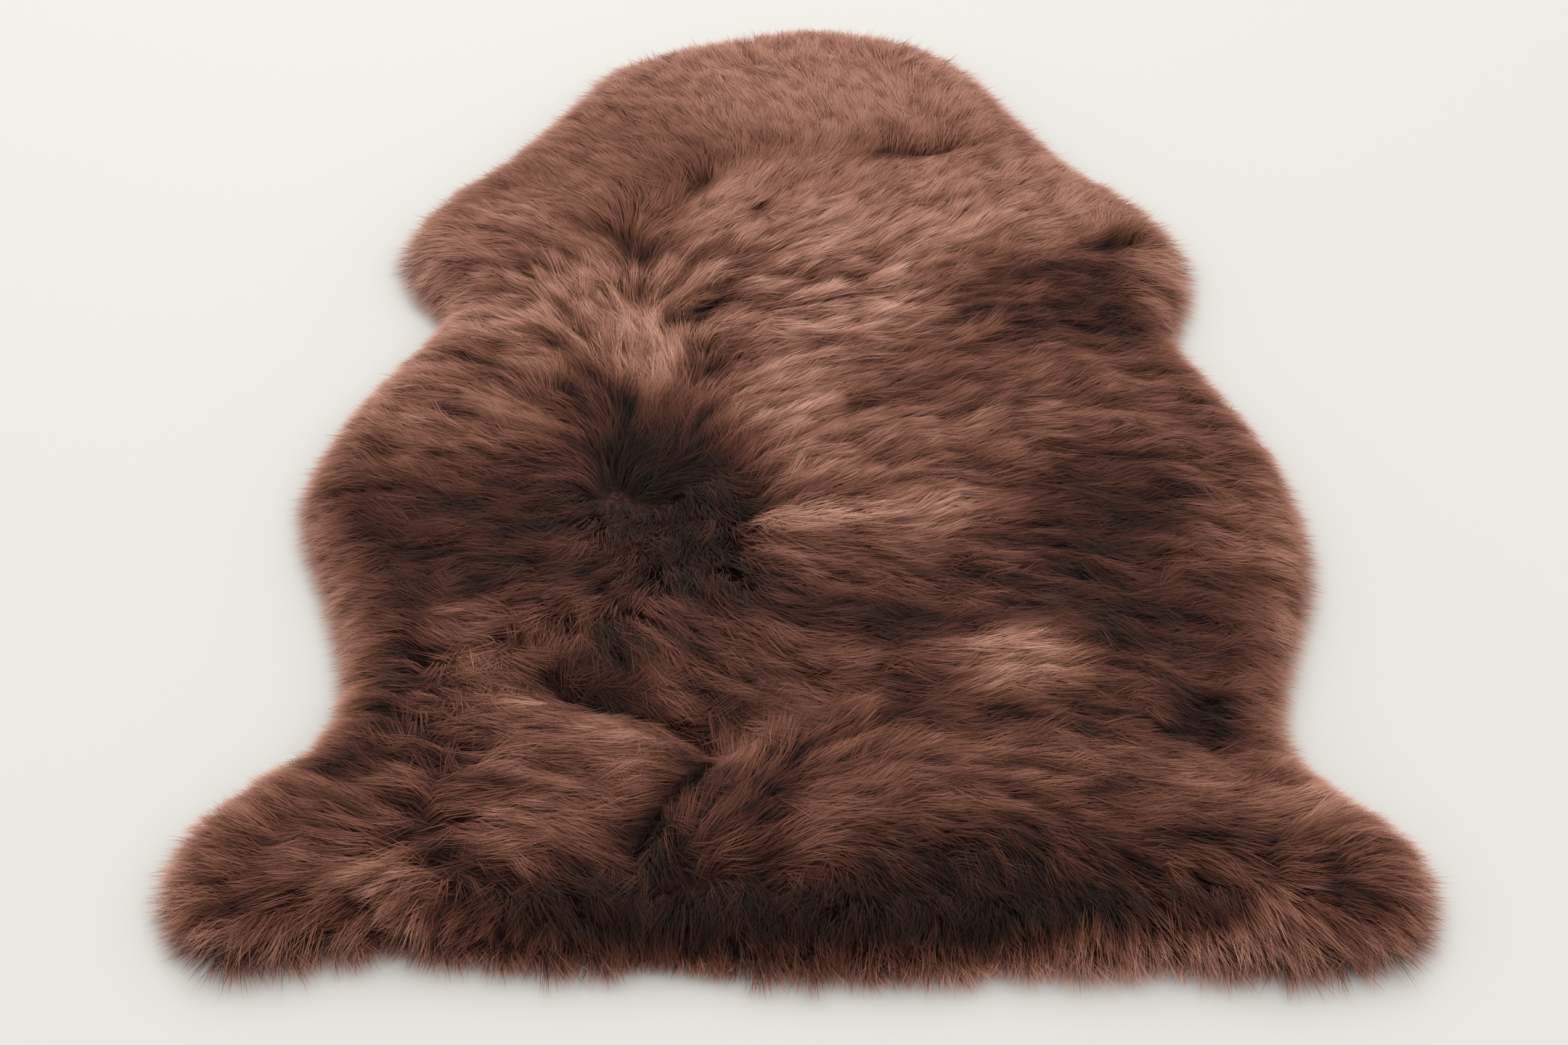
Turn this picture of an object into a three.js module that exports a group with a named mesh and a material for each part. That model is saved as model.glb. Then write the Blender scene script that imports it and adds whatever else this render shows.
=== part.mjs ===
// A whole sheepskin rug, lying flat on the floor with its wool up.
// It is one piece: a tanned skin with its own long wool, which hides the skin all round.
// Millimetres, +Z up. The neck points to +Y and the hind legs spread at -Y.

import * as THREE from "three";

// Driving sizes
const PILE = 41; // depth of the wool over most of the back
const RIM_WALL = 11; // height of the wool where the locks of the rim start
const RIM_ROUND = 21; // how fast the wool thickens inwards from there
const SLAB_INSET = 28; // how far inside the wool's outline that line runs
const LOCK_REACH = 25; // how far the locks stand out of it, on average
const LOCK_SPREAD = 0.28; // their lengths vary by this share
const LOCK_MIDDLE = 0.52; // where a lock bends, as a share of its length
const LOCK_TAPER = 0.7; // its width there, as a share of its root's
const LOCK_HEIGHT = 0.7; // its height there, as a share of its root's
const LOCK_CURL = 6; // how far a tip strays sideways
const TAIL_SWEEP = 0.3; // how much the flanks' locks lean to the tail
const CELL = 14.5; // spacing of the points that shape the wool, and width of a lock's root
const EVENING_PASSES = 40; // how often those points are moved to the middle of their neighbours

// The wool's outline as it lies, locks included, seen from above.
const LEFT_FLANK = [
  { at: "hind leg corner", x: -340, y: -480 },
  { at: "hind leg", x: -353, y: -438 },
  { at: "hind leg", x: -347, y: -388 },
  { at: "thigh", x: -315, y: -348 },
  { at: "thigh", x: -286, y: -318 },
  { at: "waist", x: -275, y: -268 },
  { at: "belly", x: -291, y: -195 },
  { at: "belly", x: -312, y: -135 },
  { at: "widest", x: -321, y: -82 },
  { at: "ribs", x: -303, y: -8 },
  { at: "ribs", x: -274, y: 52 },
  { at: "notch behind the foreleg", x: -247, y: 110 },
  { at: "foreleg", x: -272, y: 142 },
  { at: "foreleg tip", x: -287, y: 184 },
];
const RIGHT_FLANK = [
  { at: "hind leg corner", x: 322, y: -478 },
  { at: "hind leg", x: 342, y: -440 },
  { at: "hind leg", x: 342, y: -398 },
  { at: "thigh", x: 314, y: -361 },
  { at: "thigh", x: 286, y: -330 },
  { at: "waist", x: 278, y: -288 },
  { at: "belly", x: 292, y: -225 },
  { at: "widest", x: 311, y: -160 },
  { at: "widest", x: 312, y: -100 },
  { at: "ribs", x: 303, y: -38 },
  { at: "ribs", x: 276, y: 28 },
  { at: "notch behind the foreleg", x: 250, y: 94 },
  { at: "foreleg", x: 264, y: 136 },
  { at: "foreleg tip", x: 269, y: 186 },
];
const CROWN = [
  { at: "foreleg tip, left", x: -287, y: 184 },
  { at: "shoulder", x: -265, y: 238 },
  { at: "neck", x: -222, y: 297 },
  { at: "neck", x: -188, y: 360 },
  { at: "nape corner, left", x: -151, y: 429 },
  { at: "nape", x: -92, y: 468 },
  { at: "top", x: 5, y: 495 },
  { at: "nape", x: 76, y: 479 },
  { at: "nape corner, right", x: 121, y: 438 },
  { at: "neck", x: 166, y: 352 },
  { at: "neck", x: 200, y: 288 },
  { at: "shoulder", x: 241, y: 243 },
  { at: "foreleg tip, right", x: 269, y: 186 },
];
const RUMP = [
  { at: "hind leg corner, left", x: -340, y: -480 },
  { at: "hind leg", x: -300, y: -495 },
  { at: "recess beside the leg", x: -240, y: -482 },
  { at: "rump", x: -165, y: -493 },
  { at: "tail", x: -20, y: -499 },
  { at: "tail", x: 90, y: -499 },
  { at: "rump", x: 200, y: -492 },
  { at: "hind leg", x: 282, y: -489 },
  { at: "hind leg corner, right", x: 322, y: -478 },
];

// Broad rises and hollows of the wool: half sizes along and across, turn in degrees from +X.
const SWELLS = [
  { at: "left shoulder", x: -195, y: 195, along: 80, across: 48, turn: 45, rise: 4 },
  { at: "right shoulder cap", x: 232, y: 150, along: 42, across: 24, turn: 80, rise: 4 },
  { at: "hollow behind right shoulder", x: 178, y: 92, along: 62, across: 48, turn: 70, rise: -7 },
  { at: "standing locks of the withers", x: -118, y: 62, along: 66, across: 30, turn: 100, rise: 6 },
  { at: "whorl's hollow", x: -92, y: -92, along: 78, across: 46, turn: 100, rise: -11 },
  { at: "tuft beside the whorl", x: 12, y: -132, along: 66, across: 22, turn: 8, rise: 5 },
  { at: "left ribs", x: -225, y: -52, along: 70, across: 38, turn: -50, rise: 4 },
  { at: "right ribs hollow", x: 190, y: -165, along: 90, across: 36, turn: 85, rise: -6 },
  { at: "loin cushion", x: 126, y: -262, along: 34, across: 26, turn: 0, rise: 5 },
  { at: "left waist", x: -242, y: -300, along: 62, across: 24, turn: 85, rise: -5 },
  { at: "right hip dimple", x: 226, y: -322, along: 34, across: 22, turn: 70, rise: -8 },
  { at: "left haunch", x: -138, y: -352, along: 78, across: 40, turn: -12, rise: 6 },
  { at: "rump curl", x: -34, y: -372, along: 46, across: 38, turn: 60, rise: 6 },
  { at: "tail hollow", x: 30, y: -452, along: 190, across: 22, turn: 0, rise: -9 },
  { at: "curled fringe", x: 150, y: -478, along: 90, across: 14, turn: 4, rise: 5 },
];

// Small swells of single tufts: three crossing waves, each with its length, turn and height.
const TUFT_WAVES = [
  { length: 71, turn: 24, rise: 1.3 },
  { length: 52, turn: 118, rise: 1.1 },
  { length: 43, turn: 67, rise: 0.9 },
];

// Partings, where the wool falls to two sides and opens down to its roots.
const PARTINGS = [
  { at: "haunch", depth: 12, width: 13, line: [[-156, -262], [-136, -300], [-92, -308], [-50, -342]] },
  { at: "rump curl", depth: 10, width: 13, line: [[-52, -346], [-86, -378], [-96, -418]] },
  { at: "nape", depth: 7, width: 14, line: [[48, 296], [78, 291], [108, 310]] },
  { at: "neck", depth: 8, width: 14, line: [[-68, 262], [-84, 228], [-104, 196]] },
  { at: "withers", depth: 8, width: 13, line: [[-140, 182], [-104, 152], [-112, 96]] },
  { at: "whorl's edge", depth: 8, width: 14, line: [[-46, -60], [-36, -112], [-48, -150]] },
];

const WOOL = new THREE.MeshStandardMaterial({ color: 0x6f483d, roughness: 1, metalness: 0 });

// A repeatable random number from 0 to 1.
function seededRandom(seed) {
  let state = seed;
  return () => {
    state = (state * 16807) % 2147483647;
    return state / 2147483647;
  };
}

// Evenly spaced points on the smooth line through a table's rows.
function sideThrough(rows) {
  const corners = rows.map((row) => new THREE.Vector3(row.x, row.y, 0));
  return new THREE.CatmullRomCurve3(corners, false, "centripetal");
}

// The way out of the skin at each point of a closed loop that runs anticlockwise.
function outwardAlong(loop) {
  return loop.map((point, k) => {
    const before = loop.at(k - 1);
    const after = loop[(k + 1) % loop.length];
    return new THREE.Vector3(after.y - before.y, before.x - after.x, 0).normalize();
  });
}

// How far a point lies from a run of points, in plan.
function distanceTo(run, x, y) {
  let nearest = Infinity;
  for (let k = 0; k + 1 < run.length; k += 1) {
    const [ax, ay] = run[k];
    const [bx, by] = run[k + 1];
    const reach = (bx - ax) ** 2 + (by - ay) ** 2;
    const share = THREE.MathUtils.clamp(((x - ax) * (bx - ax) + (y - ay) * (by - ay)) / reach, 0, 1);
    nearest = Math.min(nearest, Math.hypot(x - ax - share * (bx - ax), y - ay - share * (by - ay)));
  }
  return nearest;
}

// What one rise or hollow adds at a point: a soft hump, longer one way.
function swellAt({ x, y, along, across, turn, rise }, px, py) {
  const angle = THREE.MathUtils.degToRad(turn);
  const lengthways = ((px - x) * Math.cos(angle) + (py - y) * Math.sin(angle)) / along;
  const crossways = ((py - y) * Math.cos(angle) - (px - x) * Math.sin(angle)) / across;
  return rise * Math.exp(-(lengthways ** 2) - crossways ** 2);
}

// What one parting takes away at a point.
function partingAt({ depth, width, line }, px, py) {
  return depth * Math.exp(-((distanceTo(line, px, py) / width) ** 2));
}

// What the single tufts add at a point: each wave is bent a little by its place, so none repeats.
function tuftAt(px, py) {
  return TUFT_WAVES.reduce((sum, { length, turn, rise }) => {
    const angle = THREE.MathUtils.degToRad(turn);
    const travelled = px * Math.cos(angle) + py * Math.sin(angle);
    const aside = py * Math.cos(angle) - px * Math.sin(angle);
    const phase = (2 * Math.PI * travelled) / length;
    return sum + rise * Math.sin(phase + 2 * Math.sin(aside / length));
  }, 0);
}

// The wool's height over the floor, thinning to the rim.
function woolHeight(px, py, rim) {
  const fullness = 1 - Math.exp(-distanceTo(rim, px, py) / RIM_ROUND);
  const swells = SWELLS.reduce((sum, swell) => sum + swellAt(swell, px, py), 0);
  const partings = PARTINGS.reduce((sum, parting) => sum + partingAt(parting, px, py), 0);
  const full = PILE - RIM_WALL + swells + tuftAt(px, py) - partings;
  return RIM_WALL + full * fullness;
}

// The four sides of the slab, each moved in from the outline to leave room for its locks.
function slabSides() {
  const rump = sideThrough(RUMP);
  const right = sideThrough(RIGHT_FLANK);
  const crown = sideThrough(CROWN);
  const left = sideThrough(LEFT_FLANK);
  const across = Math.round((rump.getLength() + crown.getLength()) / 2 / CELL);
  const along = Math.round((left.getLength() + right.getLength()) / 2 / CELL);
  const outline = [
    ...rump.getSpacedPoints(across).slice(0, -1),
    ...right.getSpacedPoints(along).slice(0, -1),
    ...crown.getSpacedPoints(across).reverse().slice(0, -1),
    ...left.getSpacedPoints(along).reverse().slice(0, -1),
  ];
  const outward = outwardAlong(outline);
  const loop = outline.map((point, k) => point.clone().addScaledVector(outward[k], -SLAB_INSET));
  return { loop, across, along };
}

// Points all over the slab, spread evenly between its four sides.
function spreadBetweenSides({ loop, across, along }) {
  const onRump = (i) => loop[i];
  const onRight = (j) => loop[across + j];
  const onCrown = (i) => loop[2 * across + along - i];
  const onLeft = (j) => loop[(2 * across + 2 * along - j) % loop.length];
  const points = [];
  for (let j = 0; j <= along; j += 1) {
    for (let i = 0; i <= across; i += 1) {
      const u = i / across;
      const v = j / along;
      const point = new THREE.Vector3()
        .addScaledVector(onRump(i), 1 - v)
        .addScaledVector(onCrown(i), v)
        .addScaledVector(onLeft(j), 1 - u)
        .addScaledVector(onRight(j), u)
        .addScaledVector(onRump(0), -(1 - u) * (1 - v))
        .addScaledVector(onRump(across), -u * (1 - v))
        .addScaledVector(onCrown(0), -(1 - u) * v)
        .addScaledVector(onCrown(across), -u * v);
      points.push(point);
    }
  }
  return points;
}

// Moves each inner point to the middle of its four neighbours, in plan, so that the cells even out.
function evenOut(points, across, along) {
  const width = across + 1;
  for (let pass = 0; pass < EVENING_PASSES; pass += 1) {
    for (let j = 1; j < along; j += 1) {
      for (let i = 1; i < across; i += 1) {
        const here = j * width + i;
        const sum = points[here - 1].clone().add(points[here + 1]);
        sum.add(points[here - width]).add(points[here + width]);
        points[here].copy(sum.multiplyScalar(1 / 4));
      }
    }
  }
}

// The numbers, in that spread, of the points round its rim, anticlockwise.
function rimNumbers(across, along) {
  const width = across + 1;
  const rim = [];
  for (let i = 0; i < across; i += 1) rim.push(i);
  for (let j = 0; j < along; j += 1) rim.push(j * width + across);
  for (let i = across; i > 0; i -= 1) rim.push(along * width + i);
  for (let j = along; j > 0; j -= 1) rim.push(j * width);
  return rim;
}

// The pelt: a lumpy slab of wool, flat underneath, with a ring of locks that lie on the floor.
function peltGeometry() {
  const sides = slabSides();
  const { loop, across, along } = sides;
  const rim = rimNumbers(across, along);
  const rimLine = [...loop, loop[0]].map((point) => [point.x, point.y]);
  const points = spreadBetweenSides(sides);
  evenOut(points, across, along);
  points.forEach((point) => {
    point.z = woolHeight(point.x, point.y, rimLine);
  });
  const faces = [];
  const width = across + 1;
  for (let j = 0; j < along; j += 1) {
    for (let i = 0; i < across; i += 1) {
      const corner = j * width + i;
      faces.push([corner, corner + 1, corner + width + 1], [corner, corner + width + 1, corner + width]);
    }
  }

  const under = rim.map((number) => points.push(points[number].clone().setZ(0)) - 1);
  const flat = under.map((number) => new THREE.Vector2(points[number].x, points[number].y));
  THREE.ShapeUtils.triangulateShape(flat, []).forEach(([a, b, c]) => {
    faces.push([under[c], under[b], under[a]]);
  });

  const outward = outwardAlong(loop);
  const random = seededRandom(11);
  rim.forEach((start, k) => {
    const next = (k + 1) % rim.length;
    const root = [under[k], under[next], rim[next], start];
    const out = outward[k].clone().add(outward[next]).normalize();
    out.y -= TAIL_SWEEP * Math.abs(out.x);
    out.normalize();
    const length = LOCK_REACH * (1 + LOCK_SPREAD * (2 * random() - 1));
    const curl = LOCK_CURL * (2 * random() - 1);
    const aside = new THREE.Vector3(-out.y, out.x, 0);
    const centre = points[under[k]].clone().lerp(points[under[next]], 0.5);
    const bend = centre.clone().addScaledVector(out, length * LOCK_MIDDLE);
    const ring = root.map((number) => {
      const offset = points[number].clone().sub(centre);
      const height = offset.z * LOCK_HEIGHT;
      return points.push(bend.clone().addScaledVector(offset, LOCK_TAPER).setZ(height)) - 1;
    });
    const tip = points.push(centre.clone().addScaledVector(out, length).addScaledVector(aside, curl)) - 1;
    for (let s = 0; s < 4; s += 1) {
      const t = (s + 1) % 4;
      faces.push([root[s], root[t], ring[t]], [root[s], ring[t], ring[s]], [ring[s], ring[t], tip]);
    }
  });

  const geometry = new THREE.BufferGeometry().setFromPoints(points);
  geometry.setIndex(faces.flat());
  geometry.computeVertexNormals();
  return geometry;
}

const pelt = new THREE.Mesh(peltGeometry(), WOOL);
pelt.name = "sheepskin";

// The origin is on the floor under the middle of the skin's box.
const box = new THREE.Box3().setFromObject(pelt);
pelt.position.set(-(box.min.x + box.max.x) / 2, -(box.min.y + box.max.y) / 2, 0);

const sheepskinRug = new THREE.Group();
sheepskinRug.add(pelt);

export default sheepskinRug;
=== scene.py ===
import math

import bpy
import numpy as np
from mathutils import Matrix, Vector
from mathutils.bvhtree import BVHTree


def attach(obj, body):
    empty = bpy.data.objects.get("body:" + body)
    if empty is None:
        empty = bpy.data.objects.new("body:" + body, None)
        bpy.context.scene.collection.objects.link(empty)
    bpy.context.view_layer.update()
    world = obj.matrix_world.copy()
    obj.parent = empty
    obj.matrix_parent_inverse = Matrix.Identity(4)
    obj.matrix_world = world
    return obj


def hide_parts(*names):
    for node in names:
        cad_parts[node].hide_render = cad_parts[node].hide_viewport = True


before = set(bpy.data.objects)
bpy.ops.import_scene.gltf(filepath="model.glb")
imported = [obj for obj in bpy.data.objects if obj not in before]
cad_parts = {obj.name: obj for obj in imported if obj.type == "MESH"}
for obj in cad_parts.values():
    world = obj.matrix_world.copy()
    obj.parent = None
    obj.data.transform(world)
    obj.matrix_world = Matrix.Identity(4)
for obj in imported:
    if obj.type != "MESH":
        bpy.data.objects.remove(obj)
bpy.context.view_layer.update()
MM = 0.001

# Camera
# It looks down on the rug from behind the hind legs, with the neck away from it.
CAMERA_PLACE = (-0.00925, -1.59221, 1.18700)
CAMERA_DOWN = math.radians(38.32)
CAMERA_ROLL = math.radians(0.48)
LENS_MM = 70.0
SENSOR_MM = 36.0
SEES_AS_FAR = 20.0

camera_data = bpy.data.cameras.new("camera")
camera_data.lens = LENS_MM
camera_data.sensor_width = SENSOR_MM
camera_data.clip_end = SEES_AS_FAR
camera = bpy.data.objects.new("camera", camera_data)
bpy.context.scene.collection.objects.link(camera)
tilt = Matrix.Rotation(math.pi / 2 - CAMERA_DOWN, 4, "X")
roll = Matrix.Rotation(CAMERA_ROLL, 4, "Z")
camera.matrix_world = Matrix.Translation(CAMERA_PLACE) @ tilt @ roll
bpy.context.scene.camera = camera
bpy.context.scene.view_settings.view_transform = "Standard"


# The form of the pelt
# One tanned skin with its own wool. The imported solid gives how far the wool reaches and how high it
# stands; its slab, without the locks round the rim, is the part that carries skin underneath.
SLAB_EDGE = 10.9 * MM  # the slab's top is nowhere lower than this
GRID = 4 * MM
GRID_MARGIN = 60 * MM
LAST_CELL = 1.001  # keeps a place on the grid's far edge within its last cell
RIM_PARTS = 4  # each edge of the rim is measured at this many points
AT_ONCE = 4000  # distances are found for this many points at a time
INSET_BLURS = 9
NAPE_BEGINS = 200 * MM  # how far along y the wool counts as the nape's
FRONT_BEGINS = 300 * MM  # and how far the other way it counts as the front's
BETWEEN_LEGS = 250 * MM  # half the width of the front between the hind legs
FRONT_SOFT = 60 * MM
FACING = 1.5  # how soon wool beside the rim counts as facing the way that the rim faces
FRINGE = 31 * MM  # the wool falls over the slab's edge and reaches this far past it
FRINGE_BLURS = 6
NAPE_FULLER = 0.36  # at the nape it stands fuller and reaches further
FRONT_SHORTER = 0.30  # between the hind legs it is shorter, and hangs in tufts
FINE_TUFTS = (0.16, 8 * MM, 19 * MM)  # share of the fringe's reach, then two lengths along x
BROAD_TUFTS = (0.14, 27 * MM)
LEVEL_INSET = 22 * MM  # the solid's own heights are kept from here inwards
LEVEL_BLURS = 120
ROUNDED = 50 * MM  # from its outer edge the wool takes this length to reach its full height
ROUND_POWER = 0.44
HEIGHT_BLURS = 3
TINY = 1e-6

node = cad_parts["sheepskin"]
loose = np.array([v.co for v in node.data.vertices])
corners = np.array([p.vertices for p in node.data.polygons])
points, same = np.unique(np.round(loose, 5), axis=0, return_inverse=True)
pelt_faces = same.reshape(-1)[corners]
on_top = (points[pelt_faces][:, :, 2] > SLAB_EDGE).all(axis=1)
top_faces = pelt_faces[on_top]


def rim_of(faces):
    """The points round a patch's edge, in order."""
    edges = np.concatenate([faces[:, [0, 1]], faces[:, [1, 2]], faces[:, [2, 0]]])
    paired = {tuple(edge) for edge in edges}
    following = {a: b for a, b in edges if (b, a) not in paired}
    here = next(iter(following))
    loop = [here]
    while following[here] != loop[0]:
        here = following[here]
        loop.append(here)
    return loop


rim_loop = rim_of(top_faces)
rim = points[rim_loop][:, :2]
rim_next = np.roll(rim, -1, axis=0)
rim_fine = np.concatenate([rim + (rim_next - rim) * part / RIM_PARTS for part in range(RIM_PARTS)])

low = points[:, :2].min(axis=0) - GRID_MARGIN
high = points[:, :2].max(axis=0) + GRID_MARGIN
columns = int((high[0] - low[0]) / GRID) + 1
rows = int((high[1] - low[1]) / GRID) + 1
grid_x, grid_y = np.meshgrid(low[0] + GRID * np.arange(columns), low[1] + GRID * np.arange(rows))
slab_tree = BVHTree.FromPolygons(points.tolist(), top_faces.tolist())
down = Vector((0, 0, -1))
heights = np.full(grid_x.shape, np.nan)
for place, (x, y) in enumerate(zip(grid_x.flat, grid_y.flat)):
    met = slab_tree.ray_cast(Vector((x, y, 1.0)), down)[0]
    if met is not None:
        heights.flat[place] = met.z
inside = ~np.isnan(heights)


def nearest_rim(x, y):
    """How far points lie from the slab's edge, in plan."""
    far = np.empty(len(x))
    for start in range(0, len(x), AT_ONCE):
        part = slice(start, start + AT_ONCE)
        gaps = np.hypot(x[part, None] - rim_fine[:, 0], y[part, None] - rim_fine[:, 1])
        far[part] = gaps.min(axis=1)
    return far


def blurred(field, times):
    """A grid with each value evened out with its neighbours."""
    for _ in range(times):
        padded = np.pad(field, 1, mode="edge")
        field = (padded[1:-1, 1:-1] * 4 + padded[:-2, 1:-1] + padded[2:, 1:-1]
                 + padded[1:-1, :-2] + padded[1:-1, 2:]) / 8
    return field


def on_grid(field, x, y, spacing=GRID):
    """A grid's value between its points."""
    column = np.clip((x - low[0]) / spacing, 0, field.shape[1] - LAST_CELL)
    row = np.clip((y - low[1]) / spacing, 0, field.shape[0] - LAST_CELL)
    i, j = column.astype(int), row.astype(int)
    a, b = column - i, row - j
    return ((field[j, i] * (1 - a) + field[j, i + 1] * a) * (1 - b)
            + (field[j + 1, i] * (1 - a) + field[j + 1, i + 1] * a) * b)


def bell(gap, width):
    """1 in the middle, falling off smoothly to both sides."""
    return np.exp(-(gap / width) ** 2)


inset = nearest_rim(grid_x.ravel(), grid_y.ravel()).reshape(grid_x.shape)
inset = np.where(inside, inset, -inset)
outward_y, outward_x = np.gradient(-blurred(inset, INSET_BLURS), GRID)
towards_nape = np.clip(grid_y / NAPE_BEGINS, 0, 1) * np.clip(FACING * outward_y, 0, 1)
facing_front = np.clip((-FRONT_BEGINS - grid_y) / FRONT_SOFT, 0, 1) * np.clip(-FACING * outward_y, 0, 1)
towards_front = facing_front * np.clip((BETWEEN_LEGS - np.abs(grid_x)) / FRONT_SOFT, 0, 1)
tuft_share, tuft_length, tuft_drift = FINE_TUFTS
hanging = tuft_share * np.sin(grid_x / tuft_length + 2 * np.sin(grid_x / tuft_drift))
tuft_share, tuft_length = BROAD_TUFTS
hanging += tuft_share * np.sin(grid_x / tuft_length + 1)
fringe = FRINGE * (1 + NAPE_FULLER * towards_nape - FRONT_SHORTER * towards_front)
fringe = blurred(fringe, FRINGE_BLURS) * (1 + towards_front * hanging)

# The solid's heights are carried on outwards, and then rounded off to the floor.
level = np.where(inset > LEVEL_INSET, 1.0, 0.0)
carried = blurred(np.where(level > 0, np.nan_to_num(heights), 0), LEVEL_BLURS)
carried /= np.maximum(blurred(level, LEVEL_BLURS), TINY)
heights = np.where(level > 0, heights, carried)
share = np.clip((inset + fringe) / ROUNDED, 0, 1)
heights = blurred(heights * (1 - (1 - share) ** 2) ** ROUND_POWER, HEIGHT_BLURS)


# How the wool lies
# The wool of a combed skin flows away from a few whorls and partings and fans out over the rim. Each
# row gives what the wool does round one place of the skin; between the places it turns smoothly.
LAY = (
    # x, y, reach in mm, heading in degrees from +X, how upright it stands from 0 to 1
    (0, 465, 70, 94, 0.45), (-115, 430, 60, 126, 0.4), (-60, 370, 60, 118, 0.2),
    (40, 390, 60, 104, 0.25), (112, 400, 50, 66, 0.35), (-155, 350, 60, 134, 0.2),
    (-30, 315, 55, 112, 0.2), (62, 340, 45, 98, 0.2), (145, 320, 50, 52, 0.2),
    (-205, 275, 50, 142, 0.25), (-122, 270, 45, 132, 0.2), (0, 250, 50, 62, 0.15),
    (80, 235, 60, 52, 0.1), (165, 240, 50, 46, 0.15), (228, 205, 30, 48, 0.4), (-62, 190, 38, 48, 0.2),
    (30, 175, 50, 40, 0.1), (122, 180, 45, 38, 0.2), (-245, 195, 50, 150, 0.3),
    (-182, 190, 45, 146, 0.2), (-255, 140, 40, 172, 0.35), (-190, 128, 38, 160, 0.3),
    (-160, 110, 34, 128, 0.15), (-135, 70, 28, 120, 0.15), (-110, 40, 24, 110, 0.2),
    (-88, 20, 20, 96, 0.3), (-90, 118, 18, 58, 0.2), (-72, 84, 26, 30, 0.15), (-20, 122, 35, 14, 0.1),
    (-20, 60, 35, 6, 0.1), (42, 110, 45, 18, 0.1), (100, 58, 40, 24, 0.15), (60, 18, 45, 22, 0.1),
    (-22, 8, 30, 26, 0.15), (-35, -40, 22, 34, 0.2), (150, 112, 40, 8, 0.6), (186, 88, 45, -4, 0.7),
    (185, 142, 35, 18, 0.6), (216, 190, 14, 70, 0.8), (242, 160, 26, 15, 0.35), (238, 108, 26, -8, 0.45),
    (200, 48, 40, 2, 0.5), (150, 24, 35, 18, 0.3), (-205, 68, 45, 154, 0.25), (-235, 36, 40, 160, 0.3),
    (-175, 30, 26, 164, 0.3), (-195, -5, 40, 150, 0.2), (-255, -32, 45, 152, 0.3),
    (-220, -72, 45, 142, 0.2), (-140, -10, 22, 124, 0.4), (-140, -40, 20, 170, 0.3),
    (-172, -60, 24, 150, 0.3), (-95, -45, 26, 92, 0.7), (-95, -80, 20, 60, 1.0),
    (-72, -122, 34, 285, 0.95), (-112, -128, 20, 265, 0.7), (-60, -165, 22, 310, 0.8),
    (-145, -85, 20, 184, 0.5), (-150, -125, 30, 190, 0.7), (-275, -112, 40, 178, 0.4),
    (-230, -140, 50, 170, 0.5), (-178, -172, 45, 182, 0.6), (-262, -205, 40, 180, 0.45),
    (-120, -185, 30, 215, 0.7), (0, -88, 38, 26, 0.2), (5, -118, 16, 48, 0.3), (25, -132, 26, 10, 0.1),
    (75, -112, 30, 12, 0.15), (5, -168, 30, -26, 0.25), (52, -200, 40, -18, 0.35),
    (80, -48, 50, 20, 0.15), (150, -58, 40, 2, 0.3), (112, -112, 35, 6, 0.2), (202, -38, 40, -4, 0.35),
    (182, -112, 40, -12, 0.6), (190, -172, 40, -16, 0.6), (182, -230, 45, -18, 0.7),
    (256, -110, 35, -12, 0.3), (254, -172, 35, -18, 0.35), (262, -38, 30, 4, 0.35),
    (252, -232, 35, -14, 0.5), (124, -262, 26, 14, 0.1), (110, -182, 30, -8, 0.3),
    (-85, -225, 26, 302, 0.35), (-128, -240, 26, 290, 0.35), (-55, -245, 22, 312, 0.4),
    (-110, -282, 26, 318, 0.5), (-185, -235, 30, 158, 0.3), (-186, -268, 24, -30, 0.2),
    (-30, -275, 35, -24, 0.3), (22, -262, 35, -8, 0.2), (62, -302, 45, 6, 0.2),
    (-240, -272, 30, 162, 0.3), (-240, -322, 30, 154, 0.25), (-270, -300, 24, 160, 0.3),
    (-176, -300, 26, -22, 0.1), (-120, -325, 34, 2, 0.1), (-75, -345, 24, 6, 0.1),
    (-165, -350, 30, -8, 0.15), (-100, -378, 26, 8, 0.15), (-172, -395, 24, -8, 0.25),
    (-140, -408, 30, -24, 0.25), (-120, -436, 26, -38, 0.4), (-38, -352, 20, 100, 0.35),
    (-12, -350, 18, 78, 0.35), (-50, -404, 24, 62, 0.35), (-15, -412, 22, 48, 0.35),
    (-72, -395, 14, 190, 0.4), (20, -345, 26, 36, 0.2), (22, -390, 24, 30, 0.25),
    (90, -362, 45, -4, 0.25), (150, -332, 35, -10, 0.4), (60, -415, 30, -20, 0.4),
    (172, -382, 45, -6, 0.3), (226, -312, 22, -40, 0.8), (242, -362, 34, 12, 0.2),
    (284, -402, 40, 14, 0.2), (322, -412, 30, 10, 0.25), (312, -452, 34, -16, 0.35),
    (262, -462, 34, -32, 0.25), (-290, -385, 30, 134, 0.3), (-240, -385, 26, 156, 0.2),
    (-305, -430, 28, 142, 0.3), (-335, -450, 26, 165, 0.35), (-300, -475, 26, 160, 0.3),
    (-250, -425, 22, 162, 0.25), (-222, -440, 14, 175, 0.1), (-245, -465, 26, 176, 0.2),
    (-282, -500, 20, 205, 0.4), (-220, -485, 20, 196, 0.3), (-185, -440, 16, 160, 0.2),
    (-190, -465, 18, 172, 0.3), (-165, -492, 20, 244, 0.3), (-160, -456, 22, 158, 0.5),
    (-90, -462, 40, 262, 0.6), (0, -458, 60, 268, 0.75), (100, -458, 60, 272, 0.8),
    (152, -486, 36, 286, 0.4), (202, -446, 44, 318, 0.35), (120, -420, 40, 312, 0.4),
)
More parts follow.
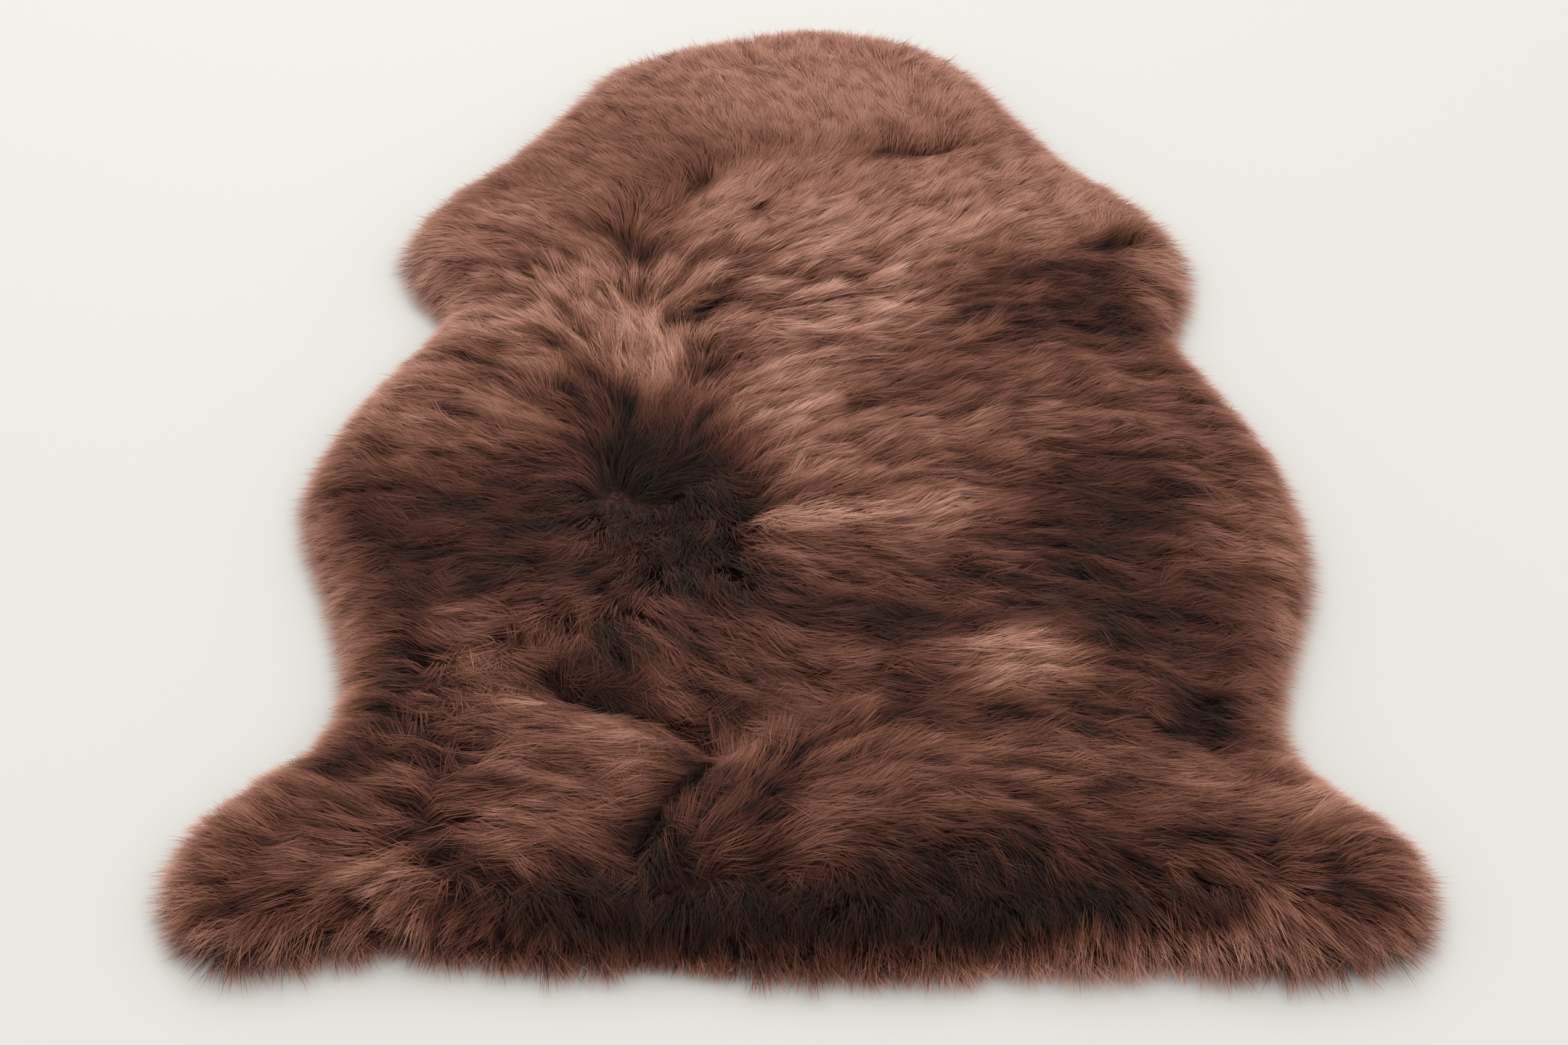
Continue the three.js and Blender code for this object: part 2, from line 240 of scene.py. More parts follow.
PARTINGS = (
    # depth and half width in mm, how dark its painted shade is from 0 to 1, how far in mm its sides are
    # combed into each other, then the line where the wool falls to two sides
    (11, 7, 0.75, 0, ((-150, -268), (-132, -300), (-88, -306), (-46, -342))),
    (9, 6, 0.7, 0, ((-50, -348), (-72, -378), (-92, -420))),
    (0, 5, 0.0, 20, ((-150, -262), (-186, -250), (-206, -275), (-206, -345), (-200, -395), (-160, -425),
                     (-132, -462))),
    (0, 5, 0.0, 7, ((-84, -437), (-30, -434), (40, -440))),
    (5, 6, 0.7, 0, ((54, 297), (82, 293), (110, 305))),
    (4, 6, 0.5, 0, ((-64, 260), (-80, 244))),
    (2, 4, 0.25, 0, ((-36, 214), (-26, 212))),
    (4, 5, 0.6, 1, ((-122, 172), (-104, 158))),
    (4, 3, 0.45, 1, ((-106, 126), (-107, 104), (-104, 90))),
    (7, 6, 0.5, 2, ((-40, -56), (-34, -100), (-44, -148))),
    (13, 8, 0.92, 0, ((203, 177), (216, 187), (231, 190))),
    (7, 4, 0.8, 0, ((-62, 15), (-50, 22))),
)
# Patches of painted light and shade: the wool is painted paler where it lies smooth and catches the
# light, and darker where it stands up and opens to its shaded depth.
PAINTED_SHADING = (
    # x, y, half length, half width in mm, turn in degrees, how light its painted light and shade make the
    # wool, weight
    (0, 420, 170, 90, 0, 0.86, 1.2), (-140, 340, 80, 60, 50, 0.64, 1.2),
    (120, 240, 110, 70, 20, 0.84, 1.2), (0, 215, 80, 50, 0, 0.84, 1.4),
    (-82, 235, 24, 12, 65, 0.50, 4.0), (-32, 214, 14, 8, 0, 0.50, 4.0), (80, 297, 34, 7, 10, 0.36, 4.0),
    (57, 240, 24, 14, 60, 0.52, 2.0), (-220, 190, 70, 50, 45, 0.77, 1.6),
    (-195, 140, 60, 24, -10, 0.44, 2.0), (-115, 168, 18, 9, -35, 0.40, 4.0),
    (-106, 128, 22, 12, 0, 0.78, 3.0), (-140, 85, 46, 20, -60, 0.74, 3.0),
    (-102, 35, 34, 18, -75, 0.74, 3.0), (-152, 34, 14, 9, -60, 0.40, 3.0),
    (-45, 95, 50, 40, 10, 0.52, 2.0), (-55, 19, 9, 6, 20, 0.05, 7.0), (25, 85, 70, 45, 20, 0.74, 1.8),
    (-10, -10, 50, 34, 25, 0.80, 2.2), (100, 14, 80, 40, 20, 0.38, 1.8), (178, 98, 56, 44, 0, 0.16, 4.0),
    (172, 190, 34, 20, 30, 0.80, 4.0), (130, 130, 40, 30, 0, 0.36, 1.6), (216, 185, 15, 7, 35, 0.0, 9.0),
    (247, 162, 34, 16, 75, 0.68, 4.0), (205, 35, 60, 24, 0, 0.36, 2.0),
    (-230, 70, 60, 60, 60, 0.68, 1.6), (-205, 25, 40, 16, -15, 0.42, 2.0),
    (-235, -15, 60, 34, -40, 0.68, 1.8), (-220, -78, 46, 26, -35, 0.42, 2.0),
    (-180, -40, 34, 30, -30, 0.46, 2.0), (-130, -5, 30, 16, -40, 0.24, 3.0),
    (-140, -44, 18, 8, 0, 0.32, 4.0), (-98, -50, 46, 34, 0, 0.06, 6.0),
    (-80, -110, 46, 50, 0, 0.02, 6.0), (-60, -150, 30, 44, 0, 0.02, 5.0),
    (-148, -85, 22, 14, 0, 0.36, 4.0), (-150, -125, 50, 30, 0, 0.14, 2.6),
    (-225, -145, 84, 50, 0, 0.12, 3.4), (-120, -190, 60, 24, 0, 0.14, 2.4),
    (6, -135, 46, 11, 6, 1.0, 9.0), (62, -126, 42, 19, 8, 0.72, 5.0), (-20, -163, 26, 7, -20, 0.82, 6.0),
    (10, -112, 18, 10, 30, 0.34, 3.0), (0, -80, 44, 26, 30, 0.66, 1.8), (80, -70, 70, 34, 10, 0.56, 1.4),
    (30, -185, 60, 22, -15, 0.30, 2.4), (185, -120, 50, 44, 0, 0.11, 3.4),
    (185, -205, 54, 44, 0, 0.10, 3.6), (262, -130, 30, 60, 0, 0.44, 2.0),
    (250, -240, 24, 50, 0, 0.16, 2.6), (126, -262, 30, 22, 10, 0.84, 5.0),
    (110, -190, 50, 20, 0, 0.36, 1.8), (-85, -224, 24, 16, -50, 0.36, 3.0),
    (-45, -205, 20, 20, 0, 0.10, 3.0), (-60, -255, 34, 18, -40, 0.20, 3.0),
    (-128, -240, 22, 20, -60, 0.34, 3.0), (-115, -280, 26, 20, -30, 0.08, 4.0),
    (-186, -240, 34, 24, -20, 0.42, 2.4), (40, -225, 70, 18, -10, 0.11, 3.0),
    (40, -272, 70, 15, -4, 0.29, 3.0), (-25, -315, 20, 20, 0, 0.18, 3.0),
    (-238, -240, 26, 26, 0, 0.12, 3.0), (-236, -322, 34, 50, 10, 0.20, 3.0),
    (-275, -320, 20, 50, 0, 0.44, 3.0), (-130, -342, 72, 42, -8, 0.50, 3.2),
    (-85, -350, 36, 20, 0, 0.68, 3.0), (-185, -375, 50, 10, -4, 0.32, 3.0),
    (-165, -408, 50, 20, -12, 0.46, 2.4), (110, -316, 90, 15, 0, 0.22, 3.0),
    (50, -345, 60, 24, 10, 0.44, 2.0), (150, -356, 90, 14, 0, 0.42, 3.0),
    (-60, -362, 12, 18, -30, 0.08, 5.0), (-40, -400, 30, 26, 20, 0.26, 3.0),
    (-28, -350, 26, 14, 10, 0.50, 3.0), (-35, -375, 18, 12, 0, 0.16, 3.0),
    (-85, -408, 20, 14, -60, 0.08, 4.0), (22, -380, 34, 30, 0, 0.44, 2.0),
    (190, -172, 60, 12, 0, 0.24, 3.0), (228, -312, 20, 26, 10, 0.04, 5.0),
    (252, -365, 50, 24, -20, 0.56, 2.4), (190, -386, 80, 12, 0, 0.34, 2.0),
    (130, -414, 110, 17, 0, 0.16, 3.0), (-255, -375, 30, 20, 45, 0.34, 2.0),
    (-300, -415, 44, 34, 40, 0.42, 2.4), (-290, -465, 44, 30, 0, 0.32, 2.4),
    (-212, -436, 22, 8, -20, 0.66, 5.0), (-215, -468, 34, 16, 0, 0.50, 3.0),
    (-160, -460, 36, 22, -30, 0.12, 4.0), (-180, -492, 34, 9, 0, 0.36, 3.0),
    (15, -461, 140, 26, 0, 0.0, 8.0), (110, -456, 66, 22, 0, 0.0, 8.0),
    (150, -490, 84, 16, 3, 0.96, 12.0), (-60, -504, 150, 14, 0, 0.48, 6.0),
    (303, -438, 26, 24, 0, 0.18, 4.0), (262, -462, 12, 30, -35, 0.60, 4.0),
    (228, -430, 50, 20, 0, 0.24, 3.0), (282, -482, 50, 14, 10, 0.42, 3.0),
    (330, -410, 20, 40, 0, 0.54, 2.0), (-100, -430, 30, 14, -20, 0.16, 3.0),
    (-15, -432, 26, 8, 10, 0.34, 3.0),
)
TONE_BASE = 0.42
TONE_BASE_WEIGHT = 0.25
TONE_EDGE = 1.3  # above 1, a tone keeps even to near its edge
LAY_EDGE = 2.2
PARTING_HOLD = 1.3  # how strongly the wool is turned away from a parting
PARTING_STANDS = 0.25
PARTING_SPREAD = 1.6
PARTING_DIP = 0.4  # of its depth
WELL_MIXED = 5  # in mm, from which a parting is combed over and turns the wool less
MIXED_HOLD = 0.4
RIM_HOLD = 2.6
RIM_FAN = 15 * MM  # over this length the wool turns outwards to the rim
LEG_FAN_LESS = 0.45
LEAST_TOP = 1.5 * MM


def distance_to_line(line, x, y):
    """How far points lie from a line of several points, and on which side of it."""
    nearest = np.full(len(x), np.inf)
    side_x, side_y = np.zeros(len(x)), np.zeros(len(x))
    for (ax, ay), (bx, by) in zip(line, line[1:]):
        length = (bx - ax) ** 2 + (by - ay) ** 2
        share = np.clip(((x - ax) * (bx - ax) + (y - ay) * (by - ay)) / length, 0, 1)
        gap_x, gap_y = x - ax - share * (bx - ax), y - ay - share * (by - ay)
        gap = np.hypot(gap_x, gap_y)
        closer = gap < nearest
        nearest = np.where(closer, gap, nearest)
        side_x, side_y = np.where(closer, gap_x, side_x), np.where(closer, gap_y, side_y)
    return nearest, side_x / np.maximum(nearest, TINY), side_y / np.maximum(nearest, TINY)


def crossed_at(line, x, y, step_x, step_y):
    """The share of each step that is left before it crosses a line of several points, or 1."""
    share = np.ones(len(x))
    for (ax, ay), (bx, by) in zip(line, line[1:]):
        edge_x, edge_y = (bx - ax) * MM, (by - ay) * MM
        gap_x, gap_y = ax * MM - x, ay * MM - y
        turn = step_x * edge_y - step_y * edge_x
        turn = np.where(np.abs(turn) < 1e-12, 1e-12, turn)
        ahead = (gap_x * edge_y - gap_y * edge_x) / turn
        beside = (gap_x * step_y - gap_y * step_x) / turn
        crosses = (ahead > 0) & (ahead < 1) & (beside > 0) & (beside < 1)
        share = np.where(crosses, np.minimum(share, ahead), share)
    return share


def flow_at(x, y):
    """Which way the wool lies at points, in x and y, and how upright it stands."""
    flow = np.zeros((len(x), 3))
    total = np.full(len(x), 1e-9)
    for px, py, reach, heading, upright in LAY:
        gap = ((x / MM - px) ** 2 + (y / MM - py) ** 2) / reach ** 2
        weight = np.exp(-LAY_EDGE * gap)
        angle = math.radians(heading)
        flow += weight[:, None] * np.array([math.cos(angle), math.sin(angle), upright])
        total += weight
    flow /= total[:, None]
    for depth, width, painted_shade, mixed, line in PARTINGS:
        combed_over = mixed > WELL_MIXED
        gap, side_x, side_y = distance_to_line(line, x / MM, y / MM)
        weight = (MIXED_HOLD if combed_over else PARTING_HOLD) * bell(gap, PARTING_SPREAD * width)
        flow[:, 0] += weight * side_x
        flow[:, 1] += weight * side_y
        flow[:, 2] += (0 if combed_over else PARTING_STANDS) * weight
    fan = RIM_HOLD * np.exp(-np.maximum(on_grid(inset, x, y), 0) / RIM_FAN)
    fan *= 1 - LEG_FAN_LESS * on_grid(facing_front - towards_front, x, y)
    flow[:, 0] += fan * on_grid(outward_x, x, y)
    flow[:, 1] += fan * on_grid(outward_y, x, y)
    return flow


def tone_and_shading_at(x, y):
    """How light the wool is painted at points, from 0, its shaded depth open to the roots, to 1, smooth
    and lit, with painted shade along the partings.
    """
    light = np.full(len(x), TONE_BASE * TONE_BASE_WEIGHT)
    total = np.full(len(x), TONE_BASE_WEIGHT)
    for px, py, along, across, turn, tone_and_shading, strength in PAINTED_SHADING:
        angle = math.radians(turn)
        a = ((x / MM - px) * math.cos(angle) + (y / MM - py) * math.sin(angle)) / along
        b = ((y / MM - py) * math.cos(angle) - (x / MM - px) * math.sin(angle)) / across
        weight = strength * np.exp(-(a * a + b * b) ** TONE_EDGE)
        light += weight * tone_and_shading
        total += weight
    light /= total
    # Along each parting the wool is painted darker, for the shade where the wool opens.
    for depth, width, painted_shade, mixed, line in PARTINGS:
        light *= 1 - painted_shade * bell(distance_to_line(line, x / MM, y / MM)[0], width)
    return light


def dip_at(x, y):
    """How far the partings open the wool at points."""
    dip = np.zeros(len(x))
    for depth, width, painted_shade, mixed, line in PARTINGS:
        dip += PARTING_DIP * depth * MM * bell(distance_to_line(line, x / MM, y / MM)[0], width)
    return dip


flat_x, flat_y = grid_x.ravel(), grid_y.ravel()
flow = flow_at(flat_x, flat_y)
flow_x, flow_y, upright_grid = (flow[:, k].reshape(grid_x.shape) for k in range(3))
tones_and_shading = tone_and_shading_at(flat_x, flat_y).reshape(grid_x.shape)
top = np.maximum(heights - dip_at(flat_x, flat_y).reshape(grid_x.shape), LEAST_TOP)


def heading_at(x, y):
    """The heading in which the wool lies at points."""
    return np.arctan2(on_grid(flow_y, x, y), on_grid(flow_x, x, y))


def surface_at(x, y):
    """The height of the wool's top at points."""
    return on_grid(top, x, y)


# The hide
# The tanned skin itself: one soft sheet about 2 mm thick, cut with a knife round the neck and the legs,
# with its buffed flesh side down on the floor. The wool hides it all round from above.
HIDE_THICKNESS = 2.0 * MM
HIDE_LIFT = 0.4 * MM  # it lies a little uneven on the floor
HIDE_WAVES = (31, 23, 9)  # radians in a metre: of x, of y, and of x as y's waves lean over
HIDE_RIM = 30 * MM  # towards its rim it lies flat, and the wool on it is lower
HIDE_DYE = "8a6450"
HIDE_PALE = "b08d74"
HIDE_DARK = "5f4033"
PORE_MM = 1.6
CLOUD_MM = 90.0


def linear(hex_colour):
    """An sRGB colour, as six hex digits, in the linear values that shaders use."""
    parts = [int(hex_colour[k:k + 2], 16) / 255 for k in (0, 2, 4)]
    return [p / 12.92 if p <= 0.04045 else ((p + 0.055) / 1.055) ** 2.4 for p in parts] + [1.0]


def add_node(tree, kind, settings=None, links=None):
    """Adds a node, sets its properties and inputs, and links its inputs."""
    made = tree.nodes.new(kind)
    for name, value in (settings or {}).items():
        if isinstance(name, int) or name in made.inputs:
            made.inputs[name].default_value = value
        else:
            setattr(made, name, value)
    for name, socket in (links or {}).items():
        tree.links.new(socket, made.inputs[name])
    return made


def new_material(name):
    """An empty material with its node tree."""
    material = bpy.data.materials.new(name)
    material.use_nodes = True
    material.node_tree.nodes.clear()
    return material, material.node_tree


def noise_over(tree, length_mm, detail):
    """Noise over the object's own coordinates, with swells of the given length."""
    place = add_node(tree, "ShaderNodeTexCoord").outputs["Object"]
    noise = add_node(tree, "ShaderNodeTexNoise", {"Scale": 1 / (length_mm * MM), "Detail": detail},
                     {"Vector": place})
    return noise.outputs["Fac"]


def colour_steps(tree, factor, steps):
    """A ramp of sRGB colours at the given places."""
    ramp = add_node(tree, "ShaderNodeValToRGB", links={0: factor})
    elements = ramp.color_ramp.elements
    while len(elements) > 1:
        elements.remove(elements[-1])
    elements[0].position, elements[0].color = steps[0][0], linear(steps[0][1])
    for place, colour in steps[1:]:
        elements.new(place).color = linear(colour)
    return ramp.outputs["Color"]


def finish_material(tree, shader):
    """Links the shader to the output."""
    add_node(tree, "ShaderNodeOutputMaterial", links={"Surface": shader.outputs[0]})


def new_piece(name, vertices, faces, material, smooth=True):
    """A mesh object at the origin, with its place in its mesh."""
    mesh = bpy.data.meshes.new(name)
    mesh.from_pydata([tuple(v) for v in vertices], [], [tuple(f) for f in faces])
    mesh.materials.append(material)
    mesh.polygons.foreach_set("use_smooth", [smooth] * len(mesh.polygons))
    mesh.update()
    piece = bpy.data.objects.new(name, mesh)
    bpy.context.scene.collection.objects.link(piece)
    return piece


# Buffed suede, dyed through with the wool: matt, cloudy where the dye took unevenly, with fine pores.
hide_suede, tree = new_material("hide_buffed_suede")
clouds = noise_over(tree, CLOUD_MM, 5.0)
pores = noise_over(tree, PORE_MM, 3.0)
dye = colour_steps(tree, clouds, ((0.3, HIDE_DARK), (0.5, HIDE_DYE), (0.72, HIDE_PALE)))
grain = add_node(tree, "ShaderNodeBump", {"Strength": 0.35, "Distance": 0.4 * MM}, {"Height": pores})
suede = add_node(tree, "ShaderNodeBsdfPrincipled",
                 {"Roughness": 0.9, "Sheen Weight": 0.25, "Specular IOR Level": 0.3},
                 {"Base Color": dye, "Normal": grain.outputs["Normal"]})
finish_material(tree, suede)

used = np.unique(top_faces)
number = {int(old): new for new, old in enumerate(used)}
hide_top = np.array([[number[int(v)] for v in face] for face in top_faces])
plan = points[used][:, :2]
near_rim = np.clip(nearest_rim(plan[:, 0], plan[:, 1]) / HIDE_RIM, 0, 1)
wave_x, wave_y, lean = HIDE_WAVES
waves = np.sin(plan[:, 0] * wave_x) * np.sin(plan[:, 1] * wave_y + plan[:, 0] * lean)
lift = HIDE_LIFT * (0.5 + 0.5 * waves) * near_rim
under = np.column_stack([plan, lift])
over = np.column_stack([plan, lift + HIDE_THICKNESS])
count = len(used)
rim_numbers = [number[int(v)] for v in rim_loop]
wall = [(a, b, b + count, a + count) for a, b in zip(rim_numbers, rim_numbers[1:] + rim_numbers[:1])]
hide_faces = [tuple(f + count) for f in hide_top] + [tuple(f[::-1]) for f in hide_top] + wall
hide = new_piece("hide", np.concatenate([under, over]), hide_faces, hide_suede)
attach(hide, "root")


# The undercoat
# The short dense wool next to the skin, which shows between the locks; its near-black colour is painted
# shade for the wool's dark depth. It has the pelt's own form, lower by the length of the locks that lie
# over it.
UNDERCOAT_DARK = "1c100d"
UNDERCOAT_BROWN = "4a2d25"
FLEECE_MM = 3.2
COAT_SHARE = 0.62  # of the wool's height
COAT_LOWER = 3 * MM
COAT_GAP = 0.3 * MM  # clear of the skin
COAT_LEAST = 0.5 * MM

undercoat_painted_shade, tree = new_material("wool_undercoat_shade")
fibres = noise_over(tree, FLEECE_MM, 4.0)
tint = colour_steps(tree, fibres, ((0.35, UNDERCOAT_DARK), (0.7, UNDERCOAT_BROWN)))
fuzz = add_node(tree, "ShaderNodeBump", {"Strength": 0.8, "Distance": 2 * MM}, {"Height": fibres})
matt = add_node(tree, "ShaderNodeBsdfPrincipled", {"Roughness": 1.0, "Specular IOR Level": 0.1},
                {"Base Color": tint, "Normal": fuzz.outputs["Normal"]})
finish_material(tree, matt)

coat_low = lift + HIDE_THICKNESS + COAT_GAP
coat_height = np.maximum(COAT_SHARE * surface_at(plan[:, 0], plan[:, 1]) - COAT_LOWER, 0)
coat_height *= np.sqrt(near_rim)
coat_under = np.column_stack([plan, coat_low])
coat_over = np.column_stack([plan, np.maximum(coat_low + coat_height, coat_low + COAT_LEAST)])
coat_points = np.concatenate([coat_under, coat_over])
undercoat = new_piece("wool_undercoat_shade", coat_points, hide_faces, undercoat_painted_shade)
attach(undercoat, "root")
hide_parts("sheepskin")


# The wool
# Long combed wool, dyed brown. It grows in locks of some two dozen fibre bundles, which leave the skin
# together and lie over to one side. Each bundle is a flat pointed blade of two triangles.
LOCK_SPACING = 5.7 * MM
LOCK_SCATTER = 0.4  # of the spacing
BUNDLES = 27
LOCK_RADIUS = 4.4 * MM
LOCK_POINT = 2.4 * MM  # its radius at the tip
REACH_LYING = 40 * MM
REACH_UPRIGHT = 20 * MM
REACH_LEAST = 6 * MM
UPRIGHT_SHARE = 0.6  # even wool that stands up leans over a little
ROOT_DEPTH = 15 * MM
BUNDLE_WIDTH = 0.56 * MM
FLYING_WIDTH = 0.6
RIM_FINER = 0.35  # how much finer bundles are at the rim
RIM_NEAR = 25 * MM
RIM_SAGS = (0.55, 0.25)  # how far bundles may sag there, at the bend and at the tip
ROLL = math.radians(35)
FLYING = 0.06  # the share of bundles that stand off the others
FLYING_FROM = 2 * MM
FLYING_TO = 8 * MM
FLYING_LESS_AT_NAPE = 0.8
BEND = 0.45  # where a bundle has risen to the top of the wool
BEND_GATHERS = 0.25  # by there it has come this share of the way in to its lock's point
BEND_LEAST = 2.0 * MM
TIP_LEAST = 0.8 * MM
SUNK_LYING = 4 * MM  # bends lie up to this far below the top
SUNK_UPRIGHT = 10 * MM  # and upright ones this much further
LOCK_HOLD = 1.2  # how strongly a bundle keeps to its lock's heading, against its own place's
STRAY_LOCK = math.radians(7)
STRAY_BUNDLE = math.radians(4)
STRAY_UPRIGHT = 2.5
TUFT_BLURS = 5
TUFT_LIFT = 1.4
TUFT_MOST = 3  # mm
LOCK_LENGTHS = (0.8, 1.2)  # of the usual length
LOCK_LIFTS = (-2.5 * MM, 1.5 * MM)
BUNDLE_LENGTHS = (0.85, 1.12)
BUNDLE_LIFTS = (-1.5 * MM, 1.0 * MM)
BUNDLE_WIDTHS = (0.6, 1.25)
FRONT_BAND = 34 * MM  # this band of the front has shorter wool, like felt
BAND_SHORTER = 0.32
LEAST_HANG = 0.1  # the share of the fringe's reach that every bundle may take past the skin
NAPE_HANG = 0.55
WAVES = (
    # length in mm, direction in degrees, swing of the wool's heading in degrees
    (46, 15, 7), (31, 80, 7), (20, 35, 8),
)
FINE_GRID = 2 * MM
STREAK_STEPS = 11  # streaks run this many fine steps each way along the wool
STREAK_KINDS = ((0, 0.95), (6, 0.7), (60, 0.3))  # blurs and strength
STREAK_LEAST = -3.4
STREAK_MOST = 1.4
STREAK_RAISE = 0.25
STREAK_TONE_AND_SHADE = 0.125
STREAK_LIFT = 1.2 * MM
GAP_DEPTH = 4.5
GAPS_ON_BACK = 0.0016  # the share of fine places where a gap begins
GAPS_IN_CRIMP = 0.0075
BACK_BEGINS = 180 * MM
BACK_SOFT = 80 * MM
NECK_GAPS = 0.15  # the neck has this share of the back's gaps
CRIMP_PLACE = (-15 * MM, 105 * MM)  # the wool is crimped round here, over these half lengths
CRIMP_SIZE = (90 * MM, 50 * MM)
CRIMP_LIVELY = 0.7
NECK_BEGINS = 130 * MM  # from here the wool gets evener, over this length, by this share
NECK_LENGTH = 120 * MM
NECK_EVENER = 0.78
DARK_LIVELY = 0.3  # how uneven the darkest wool still is
LOCK_TONE = 0.035
LIFT_PAINTED_LIGHT = 0.03  # painted light: this much lighter for each mm by which a lock stands off, and darker for each mm it sinks
BUNDLE_TONE = 0.04
RIM_PALE = 9 * MM  # painted glow: the thin tips over the rim are painted paler for the light that comes through them, from this far inside the slab
# The painted glow is weaker on the right and at the nape, and at the front only the tips get it.
RIGHT_LESS_PALE = 0.3
NAPE_LESS_PALE = 0.7
FRONT_PALE = (0.66, 5 * MM, 17 * MM)  # at the front: how much, from how far out, over which length
DARKEST = 0.02
rng = np.random.default_rng(23)

FADE_ROOT = 0.35  # how light a root is, against its tip: partly the tips' own paler colour, partly painted shade deep in the wool
WOOL_SHEEN = "c08a78"
WOOL_STEPS = (
    (0.0, "160f0c"), (0.12, "3a2219"), (0.3, "5d382b"),
    (0.5, "805444"), (0.75, "b0806e"), (1.0, "d9ad9b"),
)

# Wool fibre: soft and scaly, so it is matt with a faint warm sheen. It is darker at the roots, partly as
# the tips are paler and partly as painted shade deep in the wool.
wool, tree = new_material("combed_wool")
along = add_node(tree, "ShaderNodeAttribute", {"attribute_name": "along"}).outputs["Fac"]
# This attribute carries the wool's tone with its painted light and shade.
tone_and_shading = add_node(tree, "ShaderNodeAttribute", {"attribute_name": "tone_and_shading"}).outputs["Fac"]
fade = add_node(tree, "ShaderNodeMath",
                {"operation": "MULTIPLY_ADD", 1: 1 - FADE_ROOT, 2: FADE_ROOT}, {0: along})
shade = add_node(tree, "ShaderNodeMath", {"operation": "MULTIPLY"}, {0: tone_and_shading, 1: fade.outputs[0]})
colour = colour_steps(tree, shade.outputs[0], WOOL_STEPS)
fibre = add_node(tree, "ShaderNodeBsdfPrincipled",
                 {"Roughness": 0.75, "Sheen Weight": 0.05, "Sheen Tint": linear(WOOL_SHEEN),
                  "Specular IOR Level": 0.1},
                 {"Base Color": colour})
finish_material(tree, fibre)


def blades(name, path, width, tone_and_shading, material):
    """One mesh of many flat pointed blades. path is blade by point by xyz: root, bend, tip."""
    total = len(path)
    ahead = path[:, 2] - path[:, 0]
    side = np.column_stack([ahead[:, 1], -ahead[:, 0], np.zeros(total)])
    side /= np.maximum(np.linalg.norm(side, axis=1), 1e-9)[:, None]
    up = np.cross(side, ahead)
    up /= np.maximum(np.linalg.norm(up, axis=1), 1e-9)[:, None]
    roll = rng.uniform(-ROLL, ROLL, total)[:, None]
    half = (side * np.cos(roll) + up * np.sin(roll)) * width[:, None] / 2
    vertices = np.stack([path[:, 0], path[:, 1] + half, path[:, 1] - half, path[:, 2]], axis=1)
    vertices = vertices.reshape(-1, 3)
    shape = np.array([0, 1, 2, 2, 1, 3])
    loops = (shape[None, :] + 4 * np.arange(total)[:, None]).ravel()
    mesh = bpy.data.meshes.new(name)
    mesh.vertices.add(len(vertices))
    mesh.vertices.foreach_set("co", vertices.astype(np.float32).ravel())
    mesh.loops.add(len(loops))
    mesh.loops.foreach_set("vertex_index", loops.astype(np.int32))
    mesh.polygons.add(total * 2)
    mesh.polygons.foreach_set("loop_start", np.arange(0, len(loops), 3, dtype=np.int32))
    mesh.polygons.foreach_set("use_smooth", np.ones(total * 2, dtype=bool))
    mesh.materials.append(material)
    reach = np.tile([0, BEND, BEND, 1.0], total)
    light = tone_and_shading[:, [0, 1, 1, 2]].ravel()
    for attribute, values in (("along", reach), ("tone_and_shading", light)):
        made = mesh.attributes.new(attribute, "FLOAT", "POINT")
        made.data.foreach_set("value", values.astype(np.float32))
    # Its chart has how far along a point lies one way, and how light it is there the other way.
    spread = np.tile([0.5, 0.0, 1.0, 0.5], total)
    chart = np.column_stack([0.02 + 0.96 * reach, 0.01 + 0.96 * light + 0.01 * spread])
    layer = mesh.uv_layers.new(name="OFBake")
    layer.data.foreach_set("uv", chart[loops].astype(np.float32).ravel())
    mesh.update(calc_edges=True)
    mesh.validate()
    piece = bpy.data.objects.new(name, mesh)
    bpy.context.scene.collection.objects.link(piece)
    return piece


def waves_at(x, y):
    """The small turns in the wool's heading at points."""
    turn = np.zeros(len(x))
    for length, direction, swing in WAVES:
        angle = math.radians(direction)
        phase = (x * math.cos(angle) + y * math.sin(angle)) / (length * MM) * 2 * math.pi
        turn += math.radians(swing) * np.sin(phase + 2 * np.sin(phase * 0.37 + length))
    return turn


def drawn_out(noise):
    """Noise on the fine grid, drawn out along the wool into streaks."""
    total = np.zeros(noise.size)
    for sense in (-1, 1):
        x, y = fine_x.copy(), fine_y.copy()
        for step in range(STREAK_STEPS):
            turned = heading_at(x, y) + waves_at(x, y)
            x += sense * FINE_GRID * np.cos(turned)
            y += sense * FINE_GRID * np.sin(turned)
            total += on_grid(noise, x, y, FINE_GRID) * (1 - step / STREAK_STEPS)
    return total.reshape(noise.shape)


def crimped_at(x, y):
    """How crimped the wool is at points, from 0 to 1."""
    return bell(x - CRIMP_PLACE[0], CRIMP_SIZE[0]) * bell(y - CRIMP_PLACE[1], CRIMP_SIZE[1])


# Along the wool run streaks, where strands lie close together, and gaps, where they part a little. The
# streaks' tone varies at random, and the gaps are painted darker, as shade between parted strands.
fine_x, fine_y = np.meshgrid(np.arange(low[0], high[0], FINE_GRID), np.arange(low[1], high[1], FINE_GRID))
fine_shape = fine_x.shape
fine_x, fine_y = fine_x.ravel(), fine_y.ravel()
streaks = np.zeros(fine_shape)
for blurs, strength in STREAK_KINDS:
    drawn = drawn_out(blurred(rng.normal(0, 1, fine_shape), blurs))
    streaks += strength * drawn / drawn.std()
back = np.clip((BACK_BEGINS - fine_y) / BACK_SOFT, NECK_GAPS, 1)
gap_share = (GAPS_ON_BACK * back + GAPS_IN_CRIMP * crimped_at(fine_x, fine_y)).reshape(fine_shape)
gaps = drawn_out(blurred(np.where(rng.uniform(0, 1, fine_shape) < gap_share, 1.0, 0.0), 1))
